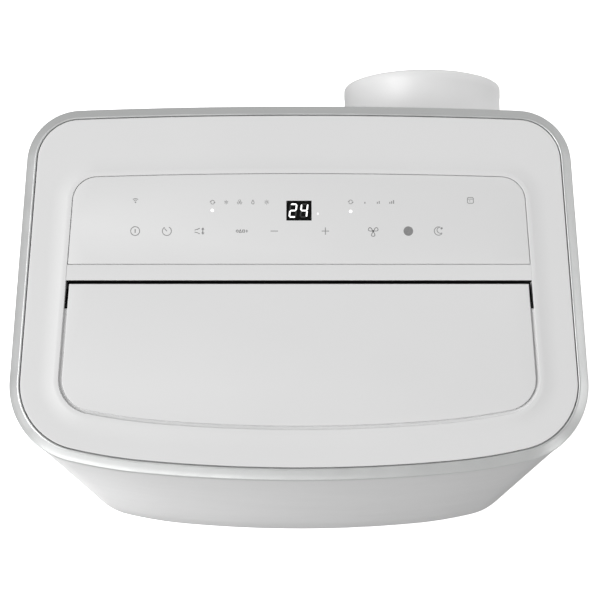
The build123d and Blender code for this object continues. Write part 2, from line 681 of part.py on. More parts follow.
def make_grip(side):
    """Pocket for the fingers, flush with the side wall."""
    x = (250 - GRIP_DEPTH, 260) if side > 0 else (-260, -250 + GRIP_DEPTH)
    wall = GRIP_WALL
    hollow_x = (x[0] + wall, 260) if side > 0 else (-260, x[1] - wall)
    pocket = block(x, GRIP_Y, GRIP_Z) & case(SHELL_OUT, 500, 650)
    hollow_y, hollow_z = (GRIP_Y[0] + wall, GRIP_Y[1] - wall), (GRIP_Z[0] + wall, GRIP_Z[1] - wall)
    return pocket - block(hollow_x, hollow_y, hollow_z)


def make_electrical_box():
    box = block(BOX_X, BOX_Y, BOX_Z)
    box = fillet(box.edges().filter_by(Axis.Z), 5)
    lid_x, lid_z = (BOX_X[0] - 2, BOX_X[1] + 2), (BOX_Z[0] - 2, BOX_Z[1] + 2)
    return box + block(lid_x, (BOX_Y[0] - 2, BOX_Y[0]), lid_z)


def make_screws():
    screws = []
    for x, z in SCREW_XZ:
        y = face_y(x) + 0.2
        head = rod_y(SCREW_HEAD, x, (y, y + 2.2), z)
        slots = block((x - 2.4, x + 2.4), (y + 1.2, y + 3), (z - 0.45, z + 0.45))
        slots = slots + block((x - 0.45, x + 0.45), (y + 1.2, y + 3), (z - 2.4, z + 2.4))
        shank = rod_y(SCREW_SHANK, x, (y - 9, y + 0.5), z)
        screws.append(head - slots + shank)
    return screws


# ---------------------------------------------------------------- castors
def make_castor_sockets():
    sockets = []
    for x, y in CASTORS:
        cup = rod_z(CASTOR_SOCKET, x, y, (CASTOR_SOCKET_LOW, FLOOR_GAP))
        sockets.append(cup - rod_z(CASTOR_STEM + RUNNING, x, y, (40, 60)))
    return sockets


def make_castor_fork(x, y):
    """Stem, crown and two cheeks that trail behind the stem, with the axle pressed in."""
    low, high = CASTOR_CROWN_Z
    fork = rod_z(CASTOR_STEM, x, y, (low + 0.8, 49.6)) + rod_z(15, x, y, (low, high))
    axle_y = y + CASTOR_TRAIL
    inner = CASTOR_WIDTH / 2 + 0.6
    for side in (-1, 1):
        cheek_x = sorted((x + side * inner, x + side * (inner + 3)))
        cheek = rod_x(6.5, cheek_x, axle_y, CASTOR_WHEEL)
        cheek = cheek + block(cheek_x, (axle_y - 12, axle_y + 4), (CASTOR_WHEEL + 3, high))
        fork = fork + cheek
    fork = fork + block((x - inner - 3, x + inner + 3), (axle_y - 12, axle_y + 4), (low, high))
    return fork + rod_x(CASTOR_AXLE, (x - inner - 4, x + inner + 4), axle_y, CASTOR_WHEEL)


def make_castor_wheel(x, y):
    span = (x - CASTOR_WIDTH / 2, x + CASTOR_WIDTH / 2)
    wheel = rod_x(CASTOR_WHEEL, span, y + CASTOR_TRAIL, CASTOR_WHEEL)
    wheel = fillet(wheel.edges().filter_by(GeomType.CIRCLE), 2)
    hole = (span[0] - 1, span[1] + 1)
    return wheel - rod_x(CASTOR_AXLE + RUNNING, hole, y + CASTOR_TRAIL, CASTOR_WHEEL)


# ---------------------------------------------------------------- write the nodes
def build():
    wall = make_shell_wall()
    rear_upper, rear_lower = make_rear_shells(wall)
    room_motor_front, hot_motor_front = ROOM_MOTOR_Y[0] + 4, HOT_MOTOR_Y[0] + 4
    nodes = {
        "base_pan": make_base_pan(),
        "front_shell": make_front_shell(wall),
        "rear_shell_upper": rear_upper,
        "rear_shell_lower": rear_lower,
        "rim_ring": make_rim_ring(),
        "top_cover": make_top_cover(),
        "control_panel": make_control_panel(),
        "display_window": display_block(-0.15, TOP_Z - 2.4, TOP_Z),
        "control_board": make_control_board(),
        "flap": make_flap(),
        "flap_bushes": make_flap_bushes(),
        "flap_motor": make_flap_motor(),
        "outlet_duct": make_outlet_duct(),
        "vane_link": make_vane_link(),
        "room_fan_housing": make_room_housing(),
        "room_fan_wheel": make_blower_wheel(ROOM_X, ROOM_Z, ROOM_WHEEL, ROOM_WHEEL_Y, ROOM_BLADES),
        "room_fan_shaft": rod_y(FAN_SHAFT, ROOM_X, (room_motor_front, ROOM_WHEEL_Y[0] + 36), ROOM_Z),
        "room_fan_motor": make_fan_motor(ROOM_X, ROOM_Z, ROOM_MOTOR, ROOM_MOTOR_Y),
        "evaporator_coil": make_coil(*EVAPORATOR, EVAPORATOR_FINS),
        "evaporator_plenum": make_plenum(),
        "divider_tray": make_divider_tray(),
        "hot_fan_housing": make_hot_housing(),
        "hot_fan_wheel": make_blower_wheel(PORT_X, HOT_Z, HOT_WHEEL, HOT_WHEEL_Y, HOT_BLADES),
        "hot_fan_shaft": rod_y(FAN_SHAFT, PORT_X, (hot_motor_front, HOT_WHEEL_Y[0] + 36), HOT_Z),
        "hot_fan_motor": make_fan_motor(PORT_X, HOT_Z, HOT_MOTOR, HOT_MOTOR_Y),
        "condenser_coil": make_coil(*CONDENSER, CONDENSER_FINS),
        "exhaust_duct": make_exhaust_duct(),
        "port_ring": make_port_ring(),
        "exhaust_collar": make_collar(),
        "compressor": make_compressor(),
        "compressor_feet": make_compressor_feet(),
        "accumulator": make_accumulator(),
        "discharge_pipe": make_discharge_pipe(),
        "suction_pipe": make_suction_pipe(),
        "upper_grille": make_grille(UPPER_WINDOW, 3),
        "lower_grille": make_grille(LOWER_WINDOW, 5),
        "upper_filter": make_filter(UPPER_FILTER, FILTER_Y, tab=FILTER_TAB),
        "lower_filter": make_filter(LOWER_FILTER, LOWER_FILTER_Y),
        "middle_drain_plug": make_drain_plug(*MIDDLE_DRAIN),
        "lower_drain_plug": make_drain_plug(*LOWER_DRAIN),
        "cord_gland": make_cord_gland(),
        "left_grip": make_grip(-1),
        "right_grip": make_grip(1),
        "electrical_box": make_electrical_box(),
        "case_screws": make_screws(),
        "castor_sockets": make_castor_sockets(),
    }
    for number, x in enumerate(VANE_XS, start=1):
        nodes[f"guide_vane_{number}"] = make_guide_vane(x)
    for number, (x, y) in enumerate(CASTORS, start=1):
        nodes[f"castor_fork_{number}"] = make_castor_fork(x, y)
        nodes[f"castor_wheel_{number}"] = make_castor_wheel(x, y)
    return nodes


os.makedirs("parts", exist_ok=True)
for name, shape in build().items():
    solids = shape if isinstance(shape, list) else [shape]
    bodies = [solid for item in solids for solid in item.solids()]
    group = bodies[0] if len(bodies) == 1 else Compound(children=bodies)
    export_step(group, f"parts/{name}.step")
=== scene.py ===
import math
import bmesh
import bpy
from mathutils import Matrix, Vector


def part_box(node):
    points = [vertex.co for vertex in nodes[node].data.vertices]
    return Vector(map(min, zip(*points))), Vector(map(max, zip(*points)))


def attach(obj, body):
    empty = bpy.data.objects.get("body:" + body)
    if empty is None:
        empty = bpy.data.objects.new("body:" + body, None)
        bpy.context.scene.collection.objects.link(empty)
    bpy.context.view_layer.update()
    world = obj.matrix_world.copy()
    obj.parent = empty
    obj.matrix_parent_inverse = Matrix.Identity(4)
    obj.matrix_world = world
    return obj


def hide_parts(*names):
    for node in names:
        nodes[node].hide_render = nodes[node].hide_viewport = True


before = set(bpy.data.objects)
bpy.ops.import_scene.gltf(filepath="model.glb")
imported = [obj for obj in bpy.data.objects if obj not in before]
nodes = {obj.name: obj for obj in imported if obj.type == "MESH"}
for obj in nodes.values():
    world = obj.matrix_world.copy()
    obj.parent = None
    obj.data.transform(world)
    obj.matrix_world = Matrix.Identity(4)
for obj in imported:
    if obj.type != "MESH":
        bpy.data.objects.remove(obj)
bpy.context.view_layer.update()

MM = 0.001

# Outline of the casing in plan and of the raised middle of its top, in metres.
CASE = dict(front_y=-0.196, front_corner=(0.2543, -0.1734), front_blend=(0.134, 0.467), rear_y=0.1347,
            rear_corner=(0.2370, 0.1291), front_radius=0.068, rear_radius=0.048)
WELL = dict(front_y=-0.1532, front_corner=(0.2090, -0.1382), front_blend=(0.117, 0.562), rear_y=0.0719,
            rear_corner=(0.1966, 0.0684), front_radius=0.0305, rear_radius=0.022)

RIM_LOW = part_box("rim_ring")[0].z
RIM_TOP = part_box("rim_ring")[1].z
TOP_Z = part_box("top_cover")[1].z
COVER_Z = TOP_Z - 2 * MM
SPLIT_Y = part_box("rear_shell_upper")[0].y
SHELL_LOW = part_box("front_shell")[0].z
SHELL_INSET = 0.8 * MM
COVER_INSET = 10.5 * MM
PANEL_FRONT_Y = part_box("control_panel")[0].y
PANEL_GAP = 0.55 * MM
PANEL_DROP = 0.1 * MM
RECESS_DEPTH = 2.85 * MM
SLOT_REAR_Y = -23.2 * MM
SLOT_DEPTH = 13 * MM
# Depth of the white edge at the flap's rear gap; below it the gap's wall is a dark sheet of painted shade.
SLOT_WHITE_EDGE = 0.9 * MM
FLAP_REAR_Y = -26.3 * MM
FLAP_INSET = 3.0 * MM
FLAP_THICK = 3.0 * MM
GROOVE_DEPTH = 2.9 * MM
LEDGE_DEPTH = 3.2 * MM
LEDGE_UNDERSIDE = 7.4 * MM
WELL_DEPTH = 15 * MM
PIVOT_Y, PIVOT_Z = -44 * MM, 707 * MM
PIN_RADIUS = 2.5 * MM
GRIP_Y, GRIP_Z = (-95 * MM, -5 * MM), (560 * MM, 600 * MM)
WINDOW_GROW = 0.6 * MM

# Places of the printed marks, in millimetres.
TOUCH_ROW_Y = 20.3
LEGEND_Y = 46.0
LEGEND_SIZE = 1.35

# Brightness of the floor and of the studio surround, and the lights' powers in watts.
FLOOR_GLOW = 0.85
WORLD_LOW, WORLD_HIGH, WORLD_LEFT, WORLD_RIGHT = 0.48, 0.37, 0.9, 1.04
KEY_POWER = 2.65
CARD_POWER = 5.2
OVERHEAD_POWER = 660.0
EDGE_POWER = 3.2
HOSE_POWER = 10.5
CORNER_POWER = 1.4
PORT_X = (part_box("exhaust_collar")[0].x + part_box("exhaust_collar")[1].x) / 2
PORT_Z = (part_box("exhaust_collar")[0].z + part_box("exhaust_collar")[1].z) / 2


# ------------------------------------------------------------------ outlines
def fillet_centre(line_start, along, inward, radius, arc_centre, arc_radius, nearest):
    """Centre of a circle tangent to a straight side and, from inside, to a large arc."""
    origin = line_start + inward * radius - arc_centre
    b = origin.dot(along)
    c = origin.length_squared - (arc_radius - radius) ** 2
    root = math.sqrt(b * b - c)
    t = min((-b - root, -b + root), key=lambda value: abs(value - nearest))
    return line_start + inward * radius + along * t


def arc_points(centre, radius, start, end, count):
    """Points and outward normals along an arc from one angle to another, the last one left out."""
    out = []
    for i in range(count):
        a = start + (end - start) * i / count
        normal = Vector((math.cos(a), math.sin(a)))
        out.append((centre + normal * radius, normal))
    return out


def angle_of(vector):
    return math.atan2(vector.y, vector.x)


class Plan:
    """Closed outline: bowed front of two arcs, straight sides, shallow arc behind, four round corners."""

    COUNTS = (24, 22, 30, 16, 26, 40)

    def __init__(self, front_y, front_corner, front_blend, rear_y, rear_corner, front_radius, rear_radius):
        front, rear = Vector(front_corner), Vector(rear_corner)
        self.side_start, self.side_along = front, (rear - front).normalized()
        self.side_out = Vector((self.side_along.y, -self.side_along.x))
        front_sag, rear_sag = front.y - front_y, rear_y - rear.y
        big_front = (front.x ** 2 + front_sag ** 2) / (2 * front_sag)
        big_rear = (rear.x ** 2 + rear_sag ** 2) / (2 * rear_sag)
        front_mid, rear_mid = Vector((0, front_y + big_front)), Vector((0, rear_y - big_rear))
        inward = -self.side_out
        length = (rear - front).length
        half_width, blend = front_blend
        blend_turn = math.asin(half_width / big_front) - math.pi / 2
        blend_mid = front_mid + Vector((math.cos(blend_turn), math.sin(blend_turn))) * (big_front - blend)
        low = fillet_centre(front, self.side_along, inward, front_radius, blend_mid, blend, 0)
        high = fillet_centre(front, self.side_along, inward, rear_radius, rear_mid, big_rear, length)
        front_turn, rear_turn = angle_of(low - blend_mid), angle_of(high - rear_mid)
        side_turn = angle_of(self.side_out)
        n = self.COUNTS
        half = arc_points(front_mid, big_front, -math.pi / 2, blend_turn, n[0])
        half += arc_points(blend_mid, blend, blend_turn, front_turn, n[1])
        half += arc_points(low, front_radius, front_turn, side_turn, n[2])
        begin, end = low + self.side_out * front_radius, high + self.side_out * rear_radius
        half += [(begin.lerp(end, i / n[3]), self.side_out) for i in range(n[3])]
        half += arc_points(high, rear_radius, side_turn, rear_turn, n[4])
        half += arc_points(rear_mid, big_rear, rear_turn, math.pi / 2, n[5])
        half.append((Vector((0, rear_y)), Vector((0, 1))))
        left = [(Vector((-p.x, p.y)), Vector((-q.x, q.y))) for p, q in reversed(half[1:-1])]
        self.base = half + left

    def ring(self, grow=0.0):
        return [p + q * grow for p, q in self.base]

    def side_point(self, y, grow, side=1):
        """Where the straight side, moved out by grow, crosses a given Y."""
        start = self.side_start + self.side_out * grow
        t = (y - start.y) / self.side_along.y
        x = start.x + self.side_along.x * t
        return Vector((side * x, y))

    def front_run(self, start, grow=0.0):
        """The outline in front of a given Y, from the left side round to the right side."""
        kept = [(p, q) for p, q in self.base if p.y < start - 4 * MM]
        left = [p + q * grow for p, q in kept if p.x < 0]
        right = [p + q * grow for p, q in kept if p.x >= 0]
        return [self.side_point(start, grow, -1)] + left + right + [self.side_point(start, grow, 1)]

    def cut(self, grow, low=None, high=None, inset=0.0, steps=24):
        """The outline's stretch behind `low` or in front of `high`, closed by a straight edge."""
        margin = 4 * MM
        if low is not None:
            kept = [(p, q) for p, q in self.base if p.y > low + margin]
            line = low + inset
            kept = [p + q * grow for p, q in kept]
            first, last = self.side_point(line, grow, 1), self.side_point(line, grow, -1)
        else:
            right = [(p, q) for p, q in self.base if p.y < high - margin and p.x >= 0]
            left = [(p, q) for p, q in self.base if p.y < high - margin and p.x < 0]
            kept = [p + q * grow for p, q in left + right]
            line = high - inset
            first, last = self.side_point(line, grow, -1), self.side_point(line, grow, 1)
        straight = [last.lerp(first, i / steps) for i in range(steps)]
        return kept + straight + [first] if low is None else [first] + kept + [last] + straight[1:]


case_plan, well_plan = Plan(**CASE), Plan(**WELL)


# ------------------------------------------------------------------ mesh helpers
def new_object(name, mesh, material, body="casing"):
    obj = bpy.data.objects.new(name, mesh)
    bpy.context.scene.collection.objects.link(obj)
    mesh.materials.append(material)
    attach(obj, body)
    return obj


def smooth(mesh, angle=30):
    for polygon in mesh.polygons:
        polygon.use_smooth = True
    mesh.set_sharp_from_angle(angle=math.radians(angle))


class Skin:
    """Rings of points joined by quads into one mesh."""

    def __init__(self):
        self.bm = bmesh.new()

    def ring(self, points, z):
        heights = z if isinstance(z, (list, tuple)) else [z] * len(points)
        return [self.bm.verts.new((p.x, p.y, h)) for p, h in zip(points, heights)]

    def verts(self, points):
        return [self.bm.verts.new(p) for p in points]

    def join(self, a, b, closed=True):
        n = len(a)
        for i in range(n if closed else n - 1):
            j = (i + 1) % n
            self.bm.faces.new((a[i], a[j], b[j], b[i]))

    def cap(self, ring, flip=False):
        self.bm.faces.new(list(reversed(ring)) if flip else ring)

    def loft(self, rings, closed=True):
        for a, b in zip(rings, rings[1:]):
            self.join(a, b, closed)

    def finish(self, name, angle=30, outward=True):
        bm = self.bm
        bmesh.ops.remove_doubles(bm, verts=bm.verts, dist=1e-7)
        if outward:
            bmesh.ops.recalc_face_normals(bm, faces=bm.faces)
        mesh = bpy.data.meshes.new(name)
        bm.to_mesh(mesh)
        bm.free()
        smooth(mesh, angle)
        return mesh


def round_steps(radius, steps=4, start=0.0, end=90.0):
    """Sideways and downward travel along a rounded edge, from the top face to the wall."""
    out = []
    for i in range(steps + 1):
        a = math.radians(start + (end - start) * i / steps)
        out.append((radius * (1 - math.sin(a)), radius * (1 - math.cos(a))))
    return out


# ------------------------------------------------------------------ materials
class Look:
    """Node material with a Principled shader and a few helpers."""

    def __init__(self, name):
        self.material = bpy.data.materials.new(name)
        self.material.use_nodes = True
        self.tree = self.material.node_tree
        self.shader = self.tree.nodes["Principled BSDF"]
        coord = self.tree.nodes.new("ShaderNodeTexCoord")
        self.place = coord.outputs["Object"]

    def node(self, kind, **settings):
        node = self.tree.nodes.new(kind)
        for key, value in settings.items():
            setattr(node, key, value)
        return node

    def link(self, a, b):
        self.tree.links.new(a, b)

    def set(self, **values):
        for key, value in values.items():
            self.shader.inputs[key.replace("_", " ")].default_value = value

    def noise(self, scale, detail=3.0, roughness=0.5, stretch=(1, 1, 1)):
        mapping = self.node("ShaderNodeMapping")
        mapping.inputs["Scale"].default_value = stretch
        noise = self.node("ShaderNodeTexNoise")
        noise.inputs["Scale"].default_value = scale
        noise.inputs["Detail"].default_value = detail
        noise.inputs["Roughness"].default_value = roughness
        self.link(self.place, mapping.inputs["Vector"])
        self.link(mapping.outputs["Vector"], noise.inputs["Vector"])
        return noise.outputs["Fac"]

    def ramp(self, value, stops):
        ramp = self.node("ShaderNodeValToRGB")
        elements = ramp.color_ramp.elements
        for index, (position, colour) in enumerate(stops):
            element = elements[index] if index < len(elements) else elements.new(position)
            element.position = position
            element.color = (*colour, 1.0) if len(colour) == 3 else colour
        self.link(value, ramp.inputs["Fac"])
        return ramp.outputs["Color"]

    def remap(self, value, low, high, start=0.3, end=0.7):
        node = self.node("ShaderNodeMapRange")
        node.inputs["From Min"].default_value = start
        node.inputs["From Max"].default_value = end
        node.inputs["To Min"].default_value = low
        node.inputs["To Max"].default_value = high
        self.link(value, node.inputs["Value"])
        return node.outputs["Result"]

    def mix(self, factor, a, b):
        node = self.node("ShaderNodeMix", data_type="RGBA")
        self.link(factor, node.inputs["Factor"])
        for value, socket in ((a, node.inputs["A"]), (b, node.inputs["B"])):
            if isinstance(value, tuple):
                socket.default_value = (*value, 1.0)
            else:
                self.link(value, socket)
        return node.outputs["Result"]

    def bump(self, height, strength, distance, before=None):
        node = self.node("ShaderNodeBump")
        node.inputs["Strength"].default_value = strength
        node.inputs["Distance"].default_value = distance
        self.link(height, node.inputs["Height"])
        if before:
            self.link(before, node.inputs["Normal"])
        return node.outputs["Normal"]

    def grey(self, value, spread=0.012, scale=7.0, tint=(1.0, 1.0, 1.0)):
        """Base colour with a faint slow drift, as in moulded plastic."""
        low = tuple((value - spread) * t for t in tint)
        high = tuple((value + spread) * t for t in tint)
        return self.ramp(self.noise(scale, 2.0), [(0.3, low), (0.7, high)])


def plastic(name, value, roughness=0.42, grain=1400.0, grain_depth=0.05, tint=(1, 1, 1), specular=0.45,
            spread=0.01):
    """Moulded plastic: slow colour drift, a fine spark-eroded grain and uneven sheen."""
    look = Look(name)
    look.link(look.grey(value, spread, tint=tint), look.shader.inputs["Base Color"])
    sheen = look.noise(23.0, 4.0, 0.6)
    look.link(look.remap(sheen, roughness - 0.05, roughness + 0.06), look.shader.inputs["Roughness"])
    fine = look.noise(grain, 2.0, 0.55)
    slow = look.noise(9.0, 1.0)
    first = look.bump(fine, grain_depth, 0.0004)
    look.link(look.bump(slow, 0.04, 0.0015, first), look.shader.inputs["Normal"])
    look.set(Specular_IOR_Level=specular)
    return look.material


def satin_silver(name):
    """Silver paint on plastic: fine metallic flake under a satin clear coat."""
    look = Look(name)
    flake = look.noise(5200.0, 1.0)
    slow = look.noise(11.0, 3.0)
    base = look.ramp(flake, [(0.25, (0.74, 0.75, 0.745)), (0.75, (0.82, 0.83, 0.825))])
    drift = look.remap(slow, 0.0, 0.25)
    look.link(look.mix(drift, base, (0.76, 0.77, 0.765)), look.shader.inputs["Base Color"])
    look.link(look.remap(look.noise(60.0, 5.0), 0.36, 0.46), look.shader.inputs["Roughness"])
    look.link(look.bump(flake, 0.05, 0.0003), look.shader.inputs["Normal"])
    look.set(Metallic=0.8, Specular_IOR_Level=0.5)
    return look.material


def ink(name, value):
    """Printed mark: slightly uneven ink on the panel."""
    look = Look(name)
    edge = look.noise(900.0, 3.0)
    look.link(look.ramp(edge, [(0.3, (value * 0.93,) * 3), (0.7, (value * 1.07,) * 3)]),
              look.shader.inputs["Base Color"])
    look.link(look.remap(look.noise(300.0), 0.45, 0.6), look.shader.inputs["Roughness"])
    return look.material


def glow(name, colour, strength):
    """Lit diffuser: brighter in the middle of its grain, under a thin window."""
    look = Look(name)
    look.link(look.ramp(look.noise(700.0, 2.0), [(0.2, tuple(c * 0.94 for c in colour)), (0.8, colour)]),
              look.shader.inputs["Emission Color"])
    look.link(look.ramp(look.noise(400.0), [(0.2, (0.8, 0.8, 0.8)), (0.8, (0.9, 0.9, 0.9))]),
              look.shader.inputs["Base Color"])
    look.link(look.remap(look.noise(500.0), 0.3, 0.4), look.shader.inputs["Roughness"])
    look.set(Emission_Strength=strength)
    return look.material


def metal(name, colour, roughness, streak=(1, 1, 40), scale=120.0):
    """Plain metal with drawn streaks and dull patches."""
    look = Look(name)
    streaks = look.noise(scale, 3.0, 0.6, streak)
    dark = tuple(c * 0.82 for c in colour)
    look.link(look.ramp(streaks, [(0.3, dark), (0.7, colour)]), look.shader.inputs["Base Color"])
    look.link(look.remap(look.noise(35.0, 4.0), roughness - 0.08, roughness + 0.12),
              look.shader.inputs["Roughness"])
    look.link(look.bump(streaks, 0.12, 0.0002), look.shader.inputs["Normal"])
    look.set(Metallic=1.0)
    return look.material


def rubber(name, value):
    """Matt rubber with a dusty bloom."""
    look = Look(name)
    dust = look.noise(45.0, 5.0, 0.65)
    stops = [(0.35, (value,) * 3), (0.8, (value * 2.4,) * 3)]
    look.link(look.ramp(dust, stops), look.shader.inputs["Base Color"])
    look.link(look.remap(dust, 0.62, 0.85), look.shader.inputs["Roughness"])
    look.link(look.bump(look.noise(800.0, 3.0), 0.2, 0.0003), look.shader.inputs["Normal"])
    look.set(Specular_IOR_Level=0.3)
    return look.material


WHITE = plastic("white_plastic", 0.760, roughness=0.46, grain_depth=0.035)
COVER_WHITE = plastic("cover_plastic", 0.760, roughness=0.50, grain=2200.0, grain_depth=0.03, spread=0.006)
PANEL_WHITE = plastic("panel_plastic", 0.760, roughness=0.44, grain=2600.0, grain_depth=0.02, spread=0.004)
# Collar plastic is lighter than the casing's white: partly a whiter moulding, partly painted light making up
# for the shade the collar sits in behind the body.
COLLAR_WHITE_PAINTED_LIGHT = plastic("collar_plastic_painted_light", 0.80, roughness=0.4, grain_depth=0.03)
SILVER = satin_silver("satin_silver")
GREY = plastic("grey_plastic", 0.20, roughness=0.5, grain=900.0, grain_depth=0.12)
DARK = plastic("dark_plastic", 0.018, roughness=0.6, grain=900.0, grain_depth=0.1, spread=0.004)
TREAD = plastic("tread_plastic", 0.055, roughness=0.45, grain=1100.0, grain_depth=0.1, spread=0.01)
BOX_WHITE = plastic("box_plastic", 0.55, roughness=0.5)
BOARD = plastic("board_lacquer", 0.10, roughness=0.3, tint=(0.25, 1.0, 0.45), spread=0.03)
WINDOW = plastic("display_black", 0.005, roughness=0.3, grain=2600.0, grain_depth=0.004, spread=0.002,
                 specular=0.12)
INK = ink("printed_grey", 0.25)
INK_DARK = ink("printed_dark_grey", 0.22)
SEGMENT_ON = glow("segment_lit", (1.0, 1.0, 1.0), 1.0)
SEGMENT_OFF = plastic("segment_unlit", 0.035, roughness=0.4, spread=0.004)
LED_ON = glow("led_lit", (1.0, 1.0, 1.0), 1.1)
LED_FAINT = glow("led_faint", (1.0, 1.0, 1.0), 0.3)
STEEL = metal("zinc_steel", (0.62, 0.62, 0.60), 0.35)
GALVANISED = metal("galvanised", (0.52, 0.53, 0.54), 0.45, (1, 1, 1), 40.0)
FINS = metal("aluminium_fins", (0.70, 0.71, 0.73), 0.32)
COPPER = metal("copper_tube", (0.75, 0.40, 0.25), 0.3)
BLACK_PAINT = plastic("black_paint", 0.02, roughness=0.35, grain=500.0, grain_depth=0.15, spread=0.005)
RUBBER = rubber("black_rubber", 0.018)
GREY_RUBBER = rubber("grey_rubber", 0.09)

CAD_MATERIALS = {
    "rear_shell_upper": WHITE, "rear_shell_lower": WHITE, "port_ring": WHITE, "upper_grille": WHITE,
    "lower_grille": WHITE, "left_grip": WHITE, "right_grip": WHITE, "base_pan": GREY, "divider_tray": GREY,
    "outlet_duct": DARK, "vane_link": DARK, "flap_bushes": DARK, "room_fan_housing": DARK,
    "hot_fan_housing": DARK, "exhaust_duct": DARK, "evaporator_plenum": DARK, "castor_sockets": GREY,
    "room_fan_wheel": DARK, "hot_fan_wheel": DARK, "upper_filter": DARK, "lower_filter": DARK,
    "room_fan_shaft": STEEL, "hot_fan_shaft": STEEL, "case_screws": STEEL, "flap_motor": STEEL,
    "room_fan_motor": GALVANISED, "hot_fan_motor": GALVANISED, "compressor": BLACK_PAINT,
    "accumulator": BLACK_PAINT, "evaporator_coil": FINS, "condenser_coil": FINS,
    "discharge_pipe": COPPER, "suction_pipe": COPPER, "compressor_feet": RUBBER,
    "middle_drain_plug": GREY_RUBBER, "lower_drain_plug": GREY_RUBBER, "cord_gland": RUBBER,
    "electrical_box": BOX_WHITE, "control_board": BOARD,
}


def dress_cad_nodes():
    """Give every CAD node that stays visible its material."""
    for name, obj in nodes.items():
        material = CAD_MATERIALS.get(name)
        if name.startswith("castor_fork"):
            material = GREY
        if name.startswith("castor_wheel"):
            material = TREAD
        if name.startswith("guide_vane"):
            material = DARK
        if material is None:
            continue
        if not obj.material_slots:
            obj.data.materials.append(material)
        for material_slot in obj.material_slots:
            material_slot.material = material


# ------------------------------------------------------------------ casing pieces
def make_rim():
    """Silver ring: inner lip, sloping face with soft edges, short upright edge."""
    skin = Skin()
    slope_low = RIM_TOP - 7 * MM
    profile = [
        (-19.8, RIM_LOW), (-19.8, RIM_TOP - 6.6 * MM), (-9.5, RIM_TOP - 6.6 * MM),
        (-9.5, RIM_TOP - 0.5 * MM), (-9.35, RIM_TOP - 0.15 * MM), (-9.0, RIM_TOP),
        (-8.3, RIM_TOP), (-8.0, RIM_TOP - 0.07 * MM), (-7.7, RIM_TOP - 0.3 * MM),
        (-4.2, RIM_TOP - 3.25 * MM), (-0.75, slope_low + 0.75 * MM),
        (-0.36, slope_low + 0.2 * MM), (-0.16, slope_low - 0.4 * MM), (-0.1, slope_low - 1.2 * MM),
        (-0.1, RIM_LOW + 0.6 * MM), (-0.25, RIM_LOW + 0.2 * MM), (-0.6, RIM_LOW),
    ]
    rings = [skin.ring(case_plan.ring(grow * MM), z) for grow, z in profile]
    skin.loft(rings + [rings[0]])
    rim = new_object("rim_ring_skin", skin.finish("rim_ring_skin", 35), SILVER)
    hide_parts("rim_ring")


def cove_height(distance):
    """Height of the cover above its flat border, by distance out from the raised middle."""
    foot, top, rise = 18.5 * MM, 4.0 * MM, TOP_Z - COVER_Z
    if distance >= foot:
        return COVER_Z
    if distance <= 1.5 * MM:
        return TOP_Z
    slope = (foot - distance) / (foot - top)
    if distance > top:
        return COVER_Z + rise * 0.93 * slope ** 2.2
    blend = (top - distance) / (top - 1.5 * MM)
    return COVER_Z + rise * (0.93 + 0.07 * math.sin(blend * math.pi / 2))


def make_top_cover():
    """Flat border, concave cove, raised middle with a recess for the panel and the flap opening."""
    skin = Skin()
    rings = [skin.ring(case_plan.ring(-COVER_INSET), RIM_TOP - 6.0 * MM)]
    for side, drop in reversed(round_steps(0.6 * MM, 4)):
        rings.append(skin.ring(case_plan.ring(-COVER_INSET - side), COVER_Z - drop))
    lip = case_plan.ring(-COVER_INSET - 0.6 * MM)
    distances = [21.0, 19.0, 18.5, 17.8, 17.0, 16.0, 15.0, 13.5, 12.0, 10.0, 8.0, 6.5, 5.2, 4.4, 3.8, 3.2,
                 2.6, 2.0, 1.4, 0.9]
    outer = well_plan.ring(distances[0] * MM)
    for share in (0.15, 0.3, 0.5, 0.7, 0.85):
        rings.append(skin.ring([a.lerp(b, share) for a, b in zip(lip, outer)], COVER_Z))
    for distance in distances:
        rings.append(skin.ring(well_plan.ring(distance * MM), cove_height(distance * MM)))
    for side, drop in round_steps(0.5 * MM, 4):
        rings.append(skin.ring(well_plan.ring(side), TOP_Z - drop))
    rings.append(skin.ring(well_plan.ring(0), TOP_Z - 3.6 * MM))
    skin.loft(rings)
    cover = new_object("top_cover_skin", skin.finish("top_cover_skin", 50, False), COVER_WHITE)
    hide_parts("top_cover")


def make_strip():
    """Strip of cover between panel and flap, with both edges rounded."""
    skin = Skin()
    edge = round_steps(0.5 * MM, 4)
    front = [(SLOT_REAR_Y + side, TOP_Z - drop) for side, drop in reversed(edge)]
    rear = [(PANEL_FRONT_Y - 0.5 * MM - side, TOP_Z - drop) for side, drop in edge]
    profile = [(SLOT_REAR_Y, TOP_Z - SLOT_WHITE_EDGE)] + front + rear + [(rear[-1][0], TOP_Z - 2.8 * MM)]
    steps = 40
    rows = []
    for y, z in profile:
        left, right = well_plan.side_point(y, 0, -1).x, well_plan.side_point(y, 0, 1).x
        rows.append(skin.verts([(left + (right - left) * i / steps, y, z) for i in range(steps + 1)]))
    skin.loft(rows, closed=False)
    return new_object("cover_strip", skin.finish("cover_strip", 50), COVER_WHITE)


def make_slot_painted_shade():
    """Painted shade: a dark sheet behind the gap at the flap's rear edge, below a thin white edge, so that the
    gap reads as deep shade.
    """
    skin = Skin()
    left, right = well_plan.side_point(SLOT_REAR_Y, 0, -1).x, well_plan.side_point(SLOT_REAR_Y, 0, 1).x
    rows = []
    # Below the white edge the wall is dark plastic standing in for the shade in the gap.
    for depth in (SLOT_WHITE_EDGE, 7 * MM, SLOT_DEPTH):
        rows.append(skin.verts([(x, SLOT_REAR_Y, TOP_Z - depth) for x in (left, 0, right)]))
    skin.loft(rows, closed=False)
    painted_shade = new_object("slot_painted_shade", skin.finish("slot_painted_shade", 30), DARK)


def make_panel_recess():
    """Floor of the recess that the panel lies in."""
    skin = Skin()
    outline = well_plan.cut(0.0, low=PANEL_FRONT_Y - 0.5 * MM)
    skin.cap(skin.ring(outline, TOP_Z - RECESS_DEPTH))
    return new_object("panel_recess", skin.finish("panel_recess", 30, False), COVER_WHITE)


